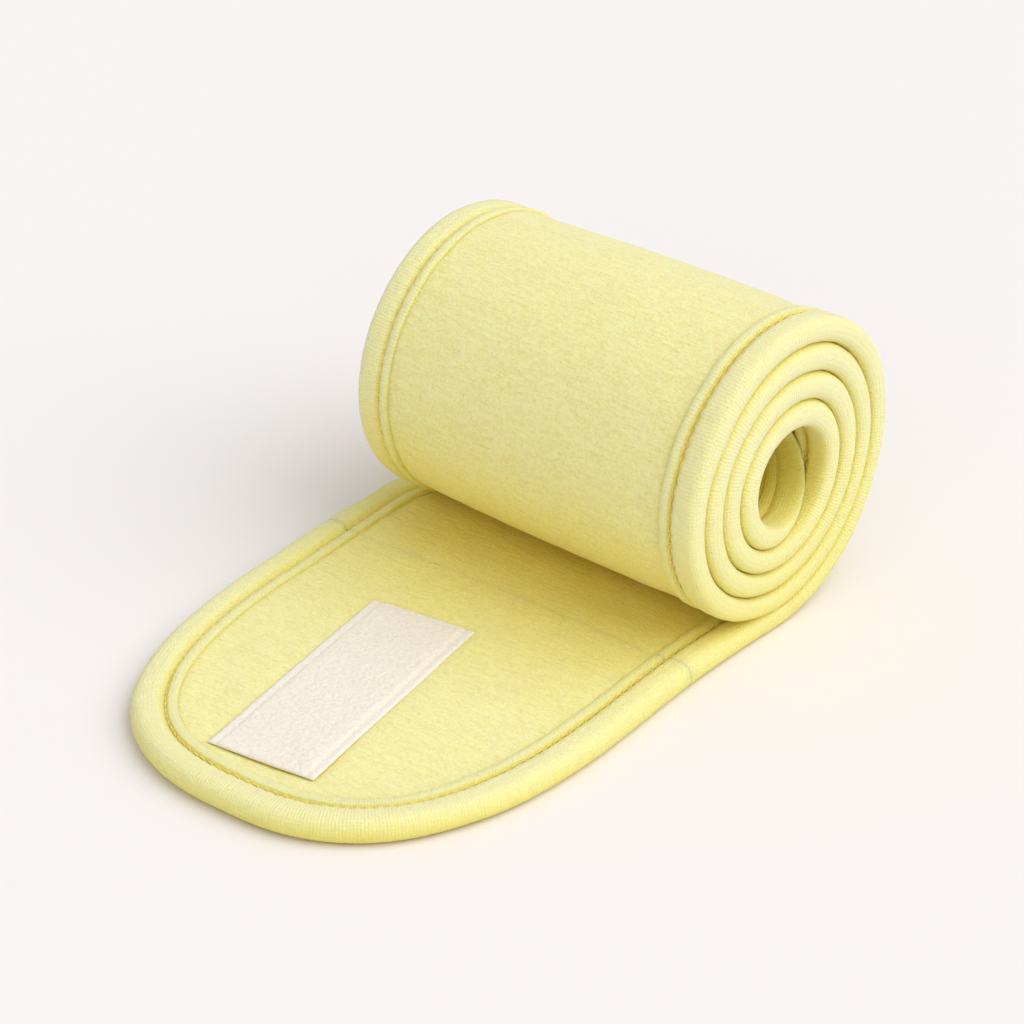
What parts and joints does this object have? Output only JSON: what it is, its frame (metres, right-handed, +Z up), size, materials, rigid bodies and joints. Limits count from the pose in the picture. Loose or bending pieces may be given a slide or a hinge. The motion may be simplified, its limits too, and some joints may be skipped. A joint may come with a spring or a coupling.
{
  "type": "spa headband",
  "caption": "Padded fabric spa headband with a bound edge and hook-and-loop ends, rolled up with one rounded end lying flat.",
  "frame": {"origin": "on the floor, under the middle of the bounding box of the band as it lies", "axes": "+Z up; +X across the band, along the axis of the roll; -Y from the roll towards the tip of the free end"},
  "size_m": [0.098, 0.159, 0.0699],
  "materials": {
    "lemon_velour": "pale lemon velour with a short nap",
    "lemon_binding": "pale lemon ribbed stretch-knit binding",
    "white_wadding": "white needled wadding",
    "lemon_thread": "polyester sewing thread",
    "cream_tape": "off-white soft hook-and-loop tape"
  },
  "bodies": {
    "roll": {"outer_face_roll": "lemon_velour", "wadding_roll": "white_wadding", "inner_face_roll": "lemon_velour", "binding_roll": "lemon_binding", "needle_thread_roll": "lemon_thread", "bobbin_thread_roll": "lemon_thread", "loop_tape": "cream_tape", "loop_tape_thread": "lemon_thread"},
    "tail_root": {"outer_face_tail_root": "lemon_velour", "wadding_tail_root": "white_wadding", "inner_face_tail_root": "lemon_velour", "binding_tail_root_left": "lemon_binding", "needle_thread_tail_root_left": "lemon_thread", "bobbin_thread_tail_root_left": "lemon_thread", "binding_tail_root_right": "lemon_binding", "needle_thread_tail_root_right": "lemon_thread", "bobbin_thread_tail_root_right": "lemon_thread"},
    "tail_end": {"outer_face_tail_end": "lemon_velour", "wadding_tail_end": "white_wadding", "inner_face_tail_end": "lemon_velour", "binding_tail_end": "lemon_binding", "needle_thread_tail_end": "lemon_thread", "bobbin_thread_tail_end": "lemon_thread", "hook_tape": "cream_tape", "hook_tape_thread": "lemon_thread"}
  },
  "joints": [
    {"name": "root_bend", "type": "hinge", "parent": "roll", "child": "tail_root", "pos_m": [0, 0.02847, 0.0048], "axis": [-1, 0, 0], "range_deg": [0, 50]},
    {"name": "end_bend", "type": "hinge", "parent": "tail_root", "child": "tail_end", "pos_m": [0, -0.00503, 0.0048], "axis": [-1, 0, 0], "range_deg": [0, 50]}
  ],
  "couplings": [
    {"joint": "end_bend", "follows": "root_bend", "ratio": 1}
  ]
}
